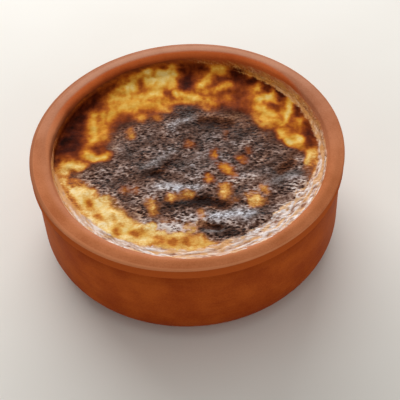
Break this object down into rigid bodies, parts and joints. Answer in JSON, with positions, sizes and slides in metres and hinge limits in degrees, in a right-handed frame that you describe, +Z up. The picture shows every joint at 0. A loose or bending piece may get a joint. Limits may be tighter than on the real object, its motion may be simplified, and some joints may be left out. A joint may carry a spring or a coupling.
{
  "type": "baked rice pudding",
  "caption": "Baked rice pudding with a charred, wrinkled milk skin, served in the round unglazed terracotta bowl it was baked in.",
  "frame": {"origin": "middle of the bowl's flat foot, on the surface it stands on", "axes": "+Z up through the bowl; the pictured view looks along +Y from above, with +X to the right"},
  "size_m": [0.124, 0.124, 0.0459],
  "materials": {
    "terracotta": "unglazed fired clay, fine turning marks, stained dark on the inner wall",
    "baked_pudding": "charred wrinkled milk skin with cream and amber patches and a glossy milky edge"
  },
  "bodies": {
    "root": {"bowl": "terracotta", "pudding": "baked_pudding"}
  },
  "joints": []
}
